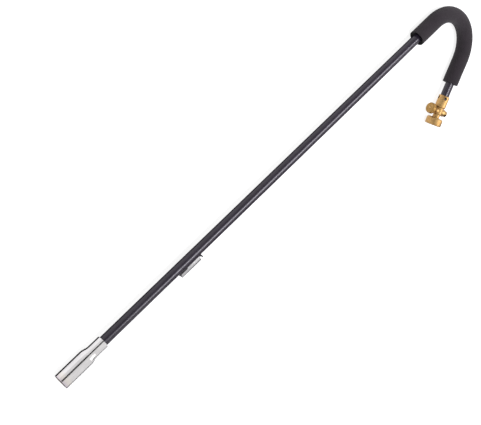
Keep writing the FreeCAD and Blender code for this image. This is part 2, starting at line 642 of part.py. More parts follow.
def make_clip():
    edge = "(tube_outer_radius + clip_depth)"
    web = "(%s - clip_sheet)" % edge
    strap = "(tube_outer_radius + bracket_sheet)"
    clip_end = "(clip_start + clip_length)"
    relief_end = "(clip_start + clip_relief)"
    inside = "(clip_half_width - clip_sheet)"
    before = "(clip_start - clip_sheet)"
    channel = block("channel_bar", ("clip_start", "-%s" % edge, "-clip_half_width"),
                    ("clip_length", edge, "2 * clip_half_width"))
    hollow = block("channel_hollow", (before, "-%s" % web, "-%s" % inside),
                   ("clip_length + 2 * clip_sheet", web, "2 * %s" % inside))
    relief = block("channel_relief", (before, "-tube_outer_radius - relief_gap", "-clip_depth"),
                   ("clip_relief + clip_sheet", "tube_outer_radius + relief_gap", "2 * clip_depth"))
    cope = rod("channel_cope", "tube_outer_radius", "clip_length + 2 * clip_sheet",
               placed((before, "0", "0"), ("0", "90", "0")))
    drilled("striker_clip", channel, [hollow, relief, cope])

    half = "(%s - bracket_side_gap)" % inside
    foot_start = "(clip_start - bracket_overhang)"
    foot = block("bracket_foot", (foot_start, "-%s" % strap, "-%s" % half),
                 ("%s - %s - bracket_side_gap" % (relief_end, foot_start),
                  "%s - tube_outer_radius + foot_saddle" % strap, "2 * %s" % half))
    tab_start = "(%s + tab_offset)" % clip_end
    strip = block("bracket_strip", (foot_start, "-%s" % strap, "-%s" % half),
                  ("%s - %s" % (tab_start, foot_start), "bracket_sheet", "2 * %s" % half))
    tab = block("bracket_tab", (tab_start, "-tube_outer_radius - tab_height", "-clip_half_width"),
                ("tab_sheet", "tab_height", "2 * clip_half_width"))
    bent = joined("bracket_blank", [foot, strip, tab])
    saddle = rod("tube_saddle", "tube_outer_radius", "2 * clip_length",
                 placed(("%s - clip_depth" % foot_start, "0", "0"), ("0", "90", "0")))
    tools = [saddle]
    for number, place in enumerate(rivet_places()):
        where = placed((place, "0", "0"), ("0", "0", "90"))
        tools.append(rod("strip_hole_%d" % number, "rivet_radius", "2 * tube_outer_radius", where))
    drilled("clip_bracket", bent, tools)

    tail_top = "(sqrt(%s * %s - rivet_tail_radius * rivet_tail_radius) - rivet_tail_gap)"
    tail_top = tail_top % (TUBE_INNER, TUBE_INNER)
    crown = "(rivet_head_radius * rivet_crown_share)"
    rivets = []
    for number, place in enumerate(rivet_places()):
        where = placed((place, "0", "0"), ("0", "0", "90"))
        rivets.append(turned("rivet_%d" % number, where, [
            ("0", "%s - rivet_tail_height" % tail_top),
            ("rivet_tail_radius", "%s - rivet_tail_height" % tail_top),
            ("rivet_tail_radius", tail_top), ("rivet_radius", tail_top), ("rivet_radius", strap),
            ("rivet_head_radius", strap), (crown, "%s + rivet_head_height" % strap),
            ("0", "%s + rivet_head_height" % strap)]))
    group = DOC.addObject("Part::Compound", "clip_rivets")
    group.Links = rivets


NODES = (
    "main_tube", "foam_grip", "burner_collar", "burner_bell", "flame_holder", "mixer_socket",
    "valve_body", "gas_jet", "jet_filter", "needle_tip", "needle_spindle", "packing_ring",
    "packing_nut", "knob", "knob_screw", "valve_plug", "plug_washer", "cylinder_coupling",
    "coupling_gasket", "depressor_pin", "inlet_screen", "striker_clip", "clip_bracket",
    "clip_rivets",
)


def main():
    air_holes = air_drills()
    make_tube(air_holes)
    make_grip()
    make_burner()
    make_socket(air_holes)
    make_valve_body()
    make_jet()
    make_needle()
    make_knob()
    make_plug()
    make_coupling()
    make_clip()
    DOC.recompute()
    for item in DOC.Objects:
        if "Invalid" in item.State or "Error" in item.State:
            raise ValueError(item.Label + " did not build")
    os.makedirs("parts", exist_ok=True)
    for name in NODES:
        node = DOC.getObject(name)
        node.Label = name
        if node.Shape.isNull() or not node.Shape.isValid() or not node.Shape.Solids:
            raise ValueError(name + " has no valid solid")
        box = node.Shape.BoundBox
        print("%-18s %2d solids %10.1f mm3  x %7.1f %7.1f  y %7.1f %7.1f  z %6.1f %6.1f" % (
            name, len(node.Shape.Solids), node.Shape.Volume,
            box.XMin, box.XMax, box.YMin, box.YMax, box.ZMin, box.ZMax))
        node.Shape.exportStep("parts/" + name + ".step")


main()
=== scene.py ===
import bmesh
import bpy
import json
import math
from mathutils import Matrix, Vector, noise


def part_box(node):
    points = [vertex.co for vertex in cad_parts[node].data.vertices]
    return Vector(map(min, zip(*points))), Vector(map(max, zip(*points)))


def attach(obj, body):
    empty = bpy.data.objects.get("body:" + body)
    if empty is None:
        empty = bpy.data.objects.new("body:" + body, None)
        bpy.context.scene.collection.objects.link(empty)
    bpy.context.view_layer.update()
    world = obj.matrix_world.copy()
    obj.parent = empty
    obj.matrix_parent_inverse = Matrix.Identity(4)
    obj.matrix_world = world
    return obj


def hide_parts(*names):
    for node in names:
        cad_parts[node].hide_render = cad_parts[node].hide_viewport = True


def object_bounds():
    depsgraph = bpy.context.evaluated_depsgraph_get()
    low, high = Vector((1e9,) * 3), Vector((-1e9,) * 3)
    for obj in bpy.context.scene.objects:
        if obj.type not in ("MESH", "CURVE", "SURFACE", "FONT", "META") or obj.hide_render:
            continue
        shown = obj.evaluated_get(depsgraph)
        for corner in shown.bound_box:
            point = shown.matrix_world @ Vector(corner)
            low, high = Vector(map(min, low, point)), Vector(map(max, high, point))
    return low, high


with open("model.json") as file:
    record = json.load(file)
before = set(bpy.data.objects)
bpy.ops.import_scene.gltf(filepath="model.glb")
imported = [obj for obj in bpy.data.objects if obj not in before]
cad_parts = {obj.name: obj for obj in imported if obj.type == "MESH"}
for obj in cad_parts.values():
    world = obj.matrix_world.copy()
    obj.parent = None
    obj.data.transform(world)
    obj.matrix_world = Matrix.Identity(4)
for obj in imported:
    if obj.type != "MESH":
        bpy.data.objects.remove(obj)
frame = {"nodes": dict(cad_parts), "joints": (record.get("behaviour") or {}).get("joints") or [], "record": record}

CAD_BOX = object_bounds()
NODES = frame["nodes"]
MM = 0.001
EASE_STEPS = 4

# Sizes the CAD model doesn't give by its boxes, in millimetres
TUBE_WALL = 1.2
SOCKET_WALL = 2.0
SOCKET_SEAT = 12.0
SOCKET_FLOOR = 4.0
AIR_HOLE_STATION = 5.0
AIR_HOLE_RADIUS = 2.7
AIR_HOLE_MOUTH = 3.6
AIR_HOLE_ANGLES = (60.0, 150.0)
NIPPLE_RADIUS = 5.5
BARREL_RADIUS = 8.0
BARREL_LENGTH = 13.0
NECK_RADIUS = 6.5
BOSS_RADIUS = 6.8
SPIGOT_RADIUS = 4.5
PLUG_ACROSS_FLATS = 10.6
KNOB_FLUTES = 24
FLUTE_RADIUS = 0.7
FLUTE_RISE = 0.25
SCREW_HEAD = 1.5
THREADS_PER_INCH = 20
CLIP_SHEET = 1.0
STRAP_SHEET = 1.2
STRAP_HALF_WIDTH = 4.9
SADDLE_LENGTH = 16.9
EAR_START = 10.4
RIVET_HEAD = 2.8
RELIEF_LENGTH = 14.4
RELIEF_DEPTH = 8.2
RELIEF_BEVEL = 1.0


# Frames and sizes read from the CAD model. Lengths in the helpers are millimetres.

def axes(origin, along, side):
    """A frame with its Z along one direction and its X as near as may be to another."""
    z = Vector(along).normalized()
    x = (Vector(side) - Vector(side).dot(z) * z).normalized()
    place = Matrix((x, z.cross(x), z)).transposed().to_4x4()
    place.translation = Vector(origin)
    return place


JOINTS = {joint["name"]: joint for joint in frame["joints"]}
MOUNTS = {mount["name"]: mount for mount in frame["record"]["mounts"]}
UP = (0, 0, 1)
CROSSING = Vector(JOINTS["knob_turn"]["pos_m"])
OUT = Vector(MOUNTS["cylinder_thread"]["axis"])
TUBE = axes((0, 0, 0), (1, 0, 0), UP)
VALVE = axes(CROSSING, OUT, UP)
NEEDLE = axes(CROSSING, JOINTS["knob_turn"]["axis"], OUT)


def span(node, place, within=1000.0):
    """A CAD node's lowest and highest station and greatest radius about a frame's Z."""
    points = [place.inverted() @ vertex.co / MM for vertex in NODES[node].data.vertices]
    points = [point for point in points if math.hypot(point.x, point.y) < within]
    stations = [point.z for point in points]
    return min(stations), max(stations), max(math.hypot(point.x, point.y) for point in points)


def crook_shape():
    """Where the crook starts, its radius and its turn, worked out from the tube's box and the valve."""
    turn = math.atan2(-OUT.y, OUT.x)
    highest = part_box("main_tube")[1]
    tube = highest[2] / MM
    furthest = highest[0] / MM - tube
    x, y = CROSSING.x / MM, CROSSING.y / MM
    slope = 1 / math.tan(turn)
    radius = (x - furthest + y * slope) / (math.sin(turn) - 1 - slope * (1 - math.cos(turn)))
    return furthest - radius, radius, turn, tube


CROOK_START, CROOK_RADIUS, CROOK_TURN, TUBE_RADIUS = crook_shape()
CROOK_LENGTH = CROOK_RADIUS * CROOK_TURN


def leg_station(station):
    """A station on the valve's axis, given as a distance along the tube from the crook's start."""
    crook_end = Vector((CROOK_START + CROOK_RADIUS * math.sin(CROOK_TURN),
                        -CROOK_RADIUS * (1 - math.cos(CROOK_TURN)), 0))
    return CROOK_LENGTH + station + (CROSSING / MM - crook_end).dot(OUT)


def along_tube(station):
    """Frame on the tube's centre line at a distance from the crook's start."""
    heading = min(max(station, 0) / CROOK_RADIUS, CROOK_TURN)
    run = min(station, 0) + max(station - CROOK_LENGTH, 0)
    direction = Vector((math.cos(heading), -math.sin(heading), 0))
    bend = Vector((math.sin(heading), math.cos(heading) - 1, 0)) * CROOK_RADIUS
    return axes((Vector((CROOK_START, 0, 0)) + bend + direction * run) * MM, direction, UP)


def off_centre(point):
    """How far a point is from the tube's centre line."""
    x, y, z = point / MM
    across, up = x - CROOK_START, y + CROOK_RADIUS
    if across < 0 < up:
        return math.hypot(y, z)
    if 0 <= math.atan2(across, up) <= CROOK_TURN:
        return math.hypot(math.hypot(across, up) - CROOK_RADIUS, z)
    beside = VALVE.inverted() @ point / MM
    return math.hypot(beside.x, beside.y)


def straight(place):
    """The same for a straight axis: a frame moved along its own Z."""
    return lambda station: place @ Matrix.Translation((0, 0, station * MM))


# Mesh helpers

def eased(outline, closed=True):
    """Round each corner (radius, station, ease) of an outline by its ease."""
    points = []
    count = len(outline)
    for index, (radius, station, ease) in enumerate(outline):
        corner = Vector((radius, station))
        if not ease:
            points.append(corner)
            continue
        before = Vector(outline[index - 1][:2]) - corner
        after = Vector(outline[(index + 1) % count][:2]) - corner
        first = corner + before.normalized() * min(ease, before.length * 0.48)
        last = corner + after.normalized() * min(ease, after.length * 0.48)
        for step in range(EASE_STEPS + 1):
            share = step / EASE_STEPS
            points.append(first * (1 - share) ** 2 + corner * 2 * share * (1 - share) + last * share ** 2)
    return points


def divided(points, longest):
    """Add points to a closed outline so that no side is longer than that."""
    finer = []
    for point, after in zip(points, points[1:] + points[:1]):
        parts = max(1, math.ceil((after - point).length / longest))
        finer += [point.lerp(after, part / parts) for part in range(parts)]
    return finer


def revolve(mesh, carrier, points, segments=96, shape=None):
    """Turn a closed outline of (radius, station) about a carrier's line; shape may change each radius."""
    rings = []
    for radius, station in points:
        place = carrier(station)
        if radius < 1e-6:
            rings.append([mesh.verts.new(place.translation)])
            continue
        ring = []
        for index in range(segments):
            angle = 2 * math.pi * index / segments
            reach = (shape(radius, station, angle) if shape else radius) * MM
            ring.append(mesh.verts.new(place @ Vector((reach * math.cos(angle), reach * math.sin(angle), 0))))
        rings.append(ring)
    for ring, after in zip(rings, rings[1:] + rings[:1]):
        if len(ring) == 1 and len(after) == 1:
            continue
        for index in range(segments):
            corners = [ring[index % len(ring)], ring[(index + 1) % segments % len(ring)],
                       after[(index + 1) % segments % len(after)], after[index % len(after)]]
            mesh.faces.new(list(dict.fromkeys(corners)))


def shade(mesh, sharp=32):
    """Smooth faces, with a crease wherever two meet at more than that many degrees."""
    bmesh.ops.recalc_face_normals(mesh, faces=mesh.faces)
    for face in mesh.faces:
        face.smooth = True
    for edge in mesh.edges:
        edge.smooth = len(edge.link_faces) == 2 and edge.calc_face_angle(math.pi) < math.radians(sharp)


def add_object(name, mesh, sharp=32):
    shade(mesh, sharp)
    data = bpy.data.meshes.new(name)
    mesh.to_mesh(data)
    mesh.free()
    piece = bpy.data.objects.new(name, data)
    bpy.context.scene.collection.objects.link(piece)
    return piece


def applied(piece, sharp=32):
    """Replace a piece's mesh by what its modifiers make of it."""
    graph = bpy.context.evaluated_depsgraph_get()
    piece.data = bpy.data.meshes.new_from_object(piece.evaluated_get(graph))
    piece.modifiers.clear()
    mesh = bmesh.new()
    mesh.from_mesh(piece.data)
    shade(mesh, sharp)
    mesh.to_mesh(piece.data)
    mesh.free()


def turned(name, place, outline, segments=96, shape=None, longest=None, sharp=32):
    """A piece turned about a frame's Z from corners (radius, station, ease)."""
    mesh = bmesh.new()
    points = eased(outline)
    if longest:
        points = divided(points, longest)
    revolve(mesh, straight(place), points, segments, shape)
    return add_object(name, mesh, sharp)


def cut(piece, tools, sharp=32):
    """Cut tools out of a piece and discard them."""
    for tool in tools:
        modifier = piece.modifiers.new("cut", "BOOLEAN")
        modifier.operation = "DIFFERENCE"
        modifier.solver = "EXACT"
        modifier.object = tool
    bpy.context.view_layer.update()
    applied(piece, sharp)
    for tool in tools:
        bpy.data.objects.remove(tool, do_unlink=True)


def belongs(piece, body, slot, *nodes):
    """Say what a piece rides on and hide the CAD nodes it stands for; slot is not used."""
    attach(piece, body)
    if nodes:
        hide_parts(*nodes)
    return piece


# Camera, lights and floor

def make_camera():
    """A long lens above the burner side of the crook, rolled so that the torch stands diagonally."""
    azimuth = math.radians(205.4)
    elevation = math.radians(43.1)
    roll = math.radians(117.96)
    target = Vector((0.3776, -0.0016, 0.0045))
    distance = 1.570
    back = Vector((math.sin(azimuth) * math.cos(elevation),
                   -math.cos(azimuth) * math.cos(elevation), math.sin(elevation)))
    camera = bpy.data.objects.new("camera", bpy.data.cameras.new("camera"))
    bpy.context.scene.collection.objects.link(camera)
    camera.data.sensor_width = 36.0
    camera.data.lens = 74.84
    camera.data.clip_start = 0.05
    level = (-back).to_track_quat("-Z", "Y").to_matrix().to_4x4()
    camera.matrix_world = Matrix.Translation(target + back * distance) @ level @ Matrix.Rotation(roll, 4, "Z")
    bpy.context.scene.camera = camera
    return camera


def make_card(name, centre, normal, side, length, width):
    """A flat card facing along normal, its length along side."""
    place = axes(centre, normal, side)
    mesh = bmesh.new()
    corners = [(-1, -1), (1, -1), (1, 1), (-1, 1)]
    mesh.faces.new([mesh.verts.new(place @ Vector((x * length / 2, y * width / 2, 0))) for x, y in corners])
    return add_object(name, mesh)


def make_light(name, place, aim, length, width, power, colour):
    data = bpy.data.lights.new(name, "AREA")
    data.shape = "RECTANGLE"
    data.size = length
    data.size_y = width
    data.energy = power
    data.color = colour
    light = bpy.data.objects.new(name, data)
    bpy.context.scene.collection.objects.link(light)
    light.matrix_world = axes(place, Vector(place) - Vector(aim), (1, 0, 0))
    return light


def light_pieces(light, pieces, state):
    """Let a light reach only those pieces, or everything but them."""
    group = bpy.data.collections.new(light.name + "_group")
    for piece in pieces:
        group.objects.link(piece)
    for member in group.collection_objects:
        member.light_linking.link_state = state
    light.light_linking.receiver_collection = group


# Lit by the strip softbox: the painted pieces, the floor and the cards. The rest of the meshes are metal
PAINTED = ("tube", "foam_sleeve", "bracket_strap", "floor", "camera_gap", "near_edge", "far_edge", "dark_side",
           "dark_low")


def make_softboxes():
    """A long softbox that draws the stripe on the paint, and broad milder ones for the bare metal."""
    metal = [piece for piece in bpy.data.objects if piece.type == "MESH" and piece.name not in PAINTED]
    sheet = [piece for piece in metal if piece.name in ("burner_tube", "lighter_clip")]
    others = [piece for piece in metal if piece not in sheet]
    broad_place, broad_aim = (1.40, -0.65, 1.3), (0.80, 0, 0)
    strip = make_light("strip_softbox", (1.05, 0.02, 1.3), (1.05, 0, 0), 1.4, 0.40, 24, (0.93, 0.91, 1.0))
    broad = make_light("broad_softbox", broad_place, broad_aim, 1.2, 1.0, 11, (1.0, 0.98, 0.96))
    faint = make_light("faint_softbox", broad_place, broad_aim, 1.6, 1.2, 6.3, (1.0, 0.99, 0.98))
    light_pieces(strip, metal, "EXCLUDE")
    light_pieces(broad, others, "INCLUDE")
    light_pieces(faint, sheet, "INCLUDE")


def make_studio(camera):
    """A white tent, a pale floor under the lowest point and dark cards that only reflections see."""
    world = bpy.data.worlds.new("tent")
    bpy.context.scene.world = world
    world.use_nodes = True
    world.node_tree.nodes["Background"].inputs["Color"].default_value = (1.0, 1.0, 1.0, 1.0)
    world.node_tree.nodes["Background"].inputs["Strength"].default_value = 1.0
    bpy.context.scene.view_settings.view_transform = "Standard"

    middle = Vector(((CAD_BOX[0][0] + CAD_BOX[1][0]) / 2, 0, 0))
    floor = make_card("floor", (middle.x, 0, CAD_BOX[0][2] - 0.0004), UP, (1, 0, 0), 8.0, 8.0)
    paper = bpy.data.materials.new("paper")
    paper.use_nodes = True
    surface = paper.node_tree.nodes["Principled BSDF"]
    surface.inputs["Base Color"].default_value = (0.30, 0.30, 0.30, 1.0)
    surface.inputs["Roughness"].default_value = 0.9
    surface.inputs["Specular IOR Level"].default_value = 0.2
    surface.inputs["Emission Color"].default_value = (1.0, 1.0, 1.0, 1.0)
    surface.inputs["Emission Strength"].default_value = 0.80
    floor.data.materials.append(paper)

    # Five dark cards that only reflections see. The first, opposite the camera, draws the dark line along the bell
    # and the straight tube;
    # near and far lie on the floor beside the tube as painted shade, a dark floor for the tube's flanks to
    # reflect; side and low darken one flank.
    black = bpy.data.materials.new("card_black")
    black.use_nodes = True
    black.node_tree.nodes["Principled BSDF"].inputs["Base Color"].default_value = (0.01, 0.01, 0.01, 1.0)
    black.node_tree.nodes["Principled BSDF"].inputs["Roughness"].default_value = 1.0
    seen = camera.matrix_world.translation
    gap = make_card("camera_gap", (2 * middle.x - seen.x, seen.y, seen.z), (0, -seen.y, -seen.z),
                    (1, 0, 0), 2.6, 0.56)
    # Painted shade: two dark strips on the floor beside the tube, seen only in reflections.
    near = make_card("near_edge", (middle.x, 0.0105, CAD_BOX[0][2] + 0.0002), UP, (1, 0, 0), 1.1, 0.017)
    far = make_card("far_edge", (0.40, -0.055, CAD_BOX[0][2] + 0.0002), UP, (1, 0, 0), 0.82, 0.07)
    side = make_card("dark_side", (0.75, -0.62, 0.24), (0, 1, 0), (1, 0, 0), 0.82, 0.50)
    low = make_card("dark_low", (0.07, -0.62, 0.06), (0, 1, 0), (1, 0, 0), 0.36, 0.16)
    for card in (gap, near, far, side, low):
        card.visible_camera = False
        card.visible_shadow = False
        card.visible_diffuse = False
        card.data.materials.append(black)


# Materials

class Finish:
    """Builds one procedural material round a Principled shader."""

    def __init__(self, name, **sockets):
        self.material = bpy.data.materials.new(name)
        self.material.use_nodes = True
        self.nodes = self.material.node_tree.nodes
        self.links = self.material.node_tree.links
        self.shader = self.nodes["Principled BSDF"]
        for socket, value in sockets.items():
            self.shader.inputs[socket.replace("_", " ")].default_value = value
        self.place = self.nodes.new("ShaderNodeTexCoord").outputs["Object"]

    def link(self, source, target):
        self.links.new(source, target)

    def noise(self, size, detail=3.0, roughness=0.55, where=None):
        """Noise whose features are about that many millimetres across."""
        node = self.nodes.new("ShaderNodeTexNoise")
        node.inputs["Scale"].default_value = 1 / (size * MM)
        node.inputs["Detail"].default_value = detail
        node.inputs["Roughness"].default_value = roughness
        self.link(where or self.place, node.inputs["Vector"])
        return node.outputs["Fac"]

    def pores(self, size):
        node = self.nodes.new("ShaderNodeTexVoronoi")
        node.inputs["Scale"].default_value = 1 / (size * MM)
        self.link(self.place, node.inputs["Vector"])
        return node.outputs["Distance"]

    def stretched(self, along, factor):
        """Coordinates squeezed along one direction, so that noise draws out into streaks."""
        turn = Vector(along).to_track_quat("Z", "Y").inverted().to_euler()
        spin = self.nodes.new("ShaderNodeMapping")
        spin.inputs["Rotation"].default_value = turn
        self.link(self.place, spin.inputs["Vector"])
        squeeze = self.nodes.new("ShaderNodeMapping")
        squeeze.inputs["Scale"].default_value = (1.0, 1.0, factor)
        self.link(spin.outputs["Vector"], squeeze.inputs["Vector"])
        return squeeze.outputs["Vector"]

    def rings(self, along, size, detail=3.0):
        """Fine lines round an axis, as a lathe tool or a polishing belt leaves."""
        dot = self.nodes.new("ShaderNodeVectorMath")
        dot.operation = "DOT_PRODUCT"
        dot.inputs[1].default_value = Vector(along).normalized()
        self.link(self.place, dot.inputs[0])
        node = self.nodes.new("ShaderNodeTexNoise")
        node.noise_dimensions = "1D"
        node.inputs["Scale"].default_value = 1 / (size * MM)
        node.inputs["Detail"].default_value = detail
        self.link(dot.outputs["Value"], node.inputs["W"])
        return node.outputs["Fac"]

    def ranged(self, value, low, high, start=0.3, end=0.7):
        """Spread a value's middle over a new range."""
        node = self.nodes.new("ShaderNodeMapRange")
        for socket, number in zip(("From Min", "From Max", "To Min", "To Max"), (start, end, low, high)):
            node.inputs[socket].default_value = number
        self.link(value, node.inputs["Value"])
        return node.outputs["Result"]

    def mixed(self, value, first, second):
        """Two colours, or two colour outputs, mixed by a value."""
        node = self.nodes.new("ShaderNodeMix")
        node.data_type = "RGBA"
        self.link(value, node.inputs["Factor"])
        for socket, colour in ((node.inputs[6], first), (node.inputs[7], second)):
            if isinstance(colour, tuple):
                socket.default_value = (*colour, 1.0)
            else:
                self.link(colour, socket)
        return node.outputs[2]

    def summed(self, first, second, share):
        """first plus share times second."""
        node = self.nodes.new("ShaderNodeMath")
        node.operation = "MULTIPLY_ADD"
        node.inputs[1].default_value = share
        self.link(second, node.inputs[0])
        self.link(first, node.inputs[2])
        return node.outputs["Value"]

    def colour(self, output):
        self.link(output, self.shader.inputs["Base Color"])

    def rough(self, output):
        self.link(output, self.shader.inputs["Roughness"])

    def relief(self, height, depth, strength=1.0):
        """Bump of that depth in millimetres."""
        node = self.nodes.new("ShaderNodeBump")
        node.inputs["Distance"].default_value = depth * MM
        node.inputs["Strength"].default_value = strength
        self.link(height, node.inputs["Height"])
        self.link(node.outputs["Normal"], self.shader.inputs["Normal"])


def powder_coat(name, dark, light, rough=0.27):
    """Baked powder paint: orange peel and a faint mottle."""
    finish = Finish(name, IOR=1.5, Specular_IOR_Level=0.45)
    finish.colour(finish.mixed(finish.ranged(finish.noise(9.0), 0, 1), dark, light))
    finish.rough(finish.ranged(finish.noise(4.0), rough - 0.05, rough + 0.07))
    finish.relief(finish.noise(1.1, 2.0), 0.035)
    return finish.material


def foam_skin(name, dark, light):
    """Closed-cell foam: matt, with fine pores and a slow unevenness."""
    finish = Finish(name, IOR=1.45, Sheen_Weight=0.06, Sheen_Roughness=0.6, Specular_IOR_Level=0.18)
    cells = finish.ranged(finish.pores(0.55), 0, 1, 0.0, 0.6)
    patches = finish.noise(14.0, 4.0)
    finish.colour(finish.mixed(finish.ranged(finish.summed(patches, cells, 0.35), 0, 1, 0.3, 0.95), dark, light))
    finish.rough(finish.ranged(patches, 0.82, 0.94))
    finish.relief(finish.summed(finish.noise(1.6, 5.0), cells, 0.7), 0.16)
    return finish.material


def lathe_metal(name, dark, light, along, rough, mark=0.45, stain=9.0, depth=0.02, **sockets):
    """Turned or polished metal: lines round the axis, a patchy tone and uneven gloss."""
    finish = Finish(name, Metallic=1.0, **sockets)
    marks = finish.rings(along, mark, 4.0)
    tone = finish.summed(finish.noise(stain, 5.0), marks, 0.35)
    finish.colour(finish.mixed(finish.ranged(tone, 0, 1, 0.42, 0.92), dark, light))
    finish.rough(finish.ranged(finish.summed(marks, finish.noise(2.5), 0.6), rough - 0.05, rough + 0.09, 0.5, 1.1))
    finish.relief(marks, depth)
    return finish.material


def cast_metal(name, dark, light, rough, grain=1.2, depth=0.03):
    """Forged or plated metal: no lines, a fine grain and patches."""
    finish = Finish(name, Metallic=1.0)
    finish.colour(finish.mixed(finish.ranged(finish.noise(6.0, 5.0), 0, 1), dark, light))
    finish.rough(finish.ranged(finish.noise(2.0, 4.0), rough - 0.06, rough + 0.1))
    finish.relief(finish.noise(grain, 4.0), depth)
    return finish.material


def plain_soft(name, dark, light, rough, grain):
    """Rubber, fibre or packing: matt, with a fine grain."""
    finish = Finish(name, Specular_IOR_Level=0.3)
    finish.colour(finish.mixed(finish.ranged(finish.noise(grain * 3, 4.0), 0, 1), dark, light))
    finish.rough(finish.ranged(finish.noise(grain * 2), rough - 0.08, rough + 0.08))
    finish.relief(finish.noise(grain, 4.0), 0.05)
    return finish.material


def burner_finish(name, bell):
    """Satin stainless with heat colours at the mouth and soot on the inner wall."""
    finish = Finish(name, Metallic=1.0)
    marks = finish.rings((1, 0, 0), 0.5, 5.0)
    streaks = finish.noise(5.0, 5.0, 0.6, finish.stretched((1, 0, 0), 0.25))
    tone = finish.mixed(finish.ranged(finish.summed(streaks, marks, 0.4), 0, 1, 0.45, 0.95),
                        (0.60, 0.585, 0.59), (0.75, 0.735, 0.735))
    split = finish.nodes.new("ShaderNodeSeparateXYZ")
    finish.link(finish.place, split.inputs["Vector"])
    uneven = finish.summed(split.outputs["X"], finish.noise(12.0, 3.0), 0.008)
    heat = finish.nodes.new("ShaderNodeValToRGB")
    heat.color_ramp.elements[0].position = 0.0
    heat.color_ramp.elements[0].color = (0.42, 0.37, 0.52, 1.0)
    heat.color_ramp.elements[1].position = 0.55
    heat.color_ramp.elements[1].color = (0.72, 0.65, 0.55, 1.0)
    finish.link(finish.ranged(uneven, 0, 1, 0.0, 0.022), heat.inputs["Fac"])
    tinted = finish.mixed(finish.ranged(uneven, 0, 1, 0.002, 0.018), heat.outputs["Color"], tone)
    across = finish.nodes.new("ShaderNodeVectorMath")
    across.operation = "MULTIPLY"
    across.inputs[1].default_value = (0.0, 1.0, 1.0)
    finish.link(finish.place, across.inputs[0])
    radius = finish.nodes.new("ShaderNodeVectorMath")
    radius.operation = "LENGTH"
    finish.link(across.outputs["Vector"], radius.inputs[0])
    inner = (bell - 0.6) * MM
    bell_part = finish.ranged(radius.outputs["Value"], 0, 1, inner - 0.0001, inner + 0.0001)
    rear = finish.ranged(split.outputs["X"], 0, 1, 0.044, 0.047)
    clean = finish.nodes.new("ShaderNodeMath")
    clean.operation = "MAXIMUM"
    finish.link(bell_part, clean.inputs[0])
    finish.link(rear, clean.inputs[1])
    soot = finish.mixed(finish.ranged(finish.noise(7.0, 4.0), 0, 1), (0.20, 0.18, 0.18), (0.44, 0.40, 0.37))
    finish.colour(finish.mixed(clean.outputs["Value"], soot, tinted))
    finish.rough(finish.ranged(finish.summed(marks, streaks, 0.7), 0.12, 0.20, 0.55, 1.15))
    finish.relief(marks, 0.012)
    return finish.material


def woven_wire(name):
    """Fine wire mesh across the valve's axis."""
    finish = Finish(name, Metallic=1.0)
    wave = finish.nodes.new("ShaderNodeTexWave")
    wave.inputs["Scale"].default_value = 900
    finish.link(finish.place, wave.inputs["Vector"])
    finish.colour(finish.mixed(wave.outputs["Fac"], (0.12, 0.12, 0.12), (0.6, 0.6, 0.58)))
    finish.rough(finish.ranged(finish.noise(1.0), 0.3, 0.5))
    finish.relief(wave.outputs["Fac"], 0.1)
    return finish.material


def paint(piece, *materials):
    piece.data.materials.clear()
    for material in materials:
        piece.data.materials.append(material)


# Pieces

def hexagon(across, corner=0.35):
    """Shape rule that flattens a turned blank to a hexagon with slightly rounded corners."""
    def rule(radius, station, angle):
        off = (angle + math.pi / 6) % (math.pi / 3) - math.pi / 6
        flat = across / 2 / math.cos(off)
        blunt = across / 2 / math.cos(math.pi / 6) - corner * 0.4
        return min(radius, flat, blunt)
    return rule


def make_tube(drills):
    start = span("main_tube", TUBE, TUBE_RADIUS + 1)[0] - CROOK_START
    end = leg_station(span("main_tube", VALVE, TUBE_RADIUS + 1)[1])
    inner = TUBE_RADIUS - TUBE_WALL
    outline = eased([(inner, start, 0.2), (TUBE_RADIUS, start, 0.3), (TUBE_RADIUS, 0, 0),
                     (TUBE_RADIUS, CROOK_LENGTH, 0), (TUBE_RADIUS, end, 0.3), (inner, end, 0.2),
                     (inner, CROOK_LENGTH, 0), (inner, 0, 0)])
    mesh = bmesh.new()
    revolve(mesh, along_tube, divided(outline, 6.0), 72)
    tube = add_object("tube", mesh)
    cut(tube, drills)
    paint(tube, powder_coat("tube_powder", (0.0095, 0.0065, 0.0125), (0.0165, 0.0122, 0.0210)),
          cast_metal("tube_bore", (0.34, 0.33, 0.33), (0.50, 0.49, 0.48), 0.42))
    for face in tube.data.polygons:
        face.material_index = int(off_centre(face.center) < TUBE_RADIUS - 0.15)
    belongs(tube, "torch", "powder_steel", "main_tube")


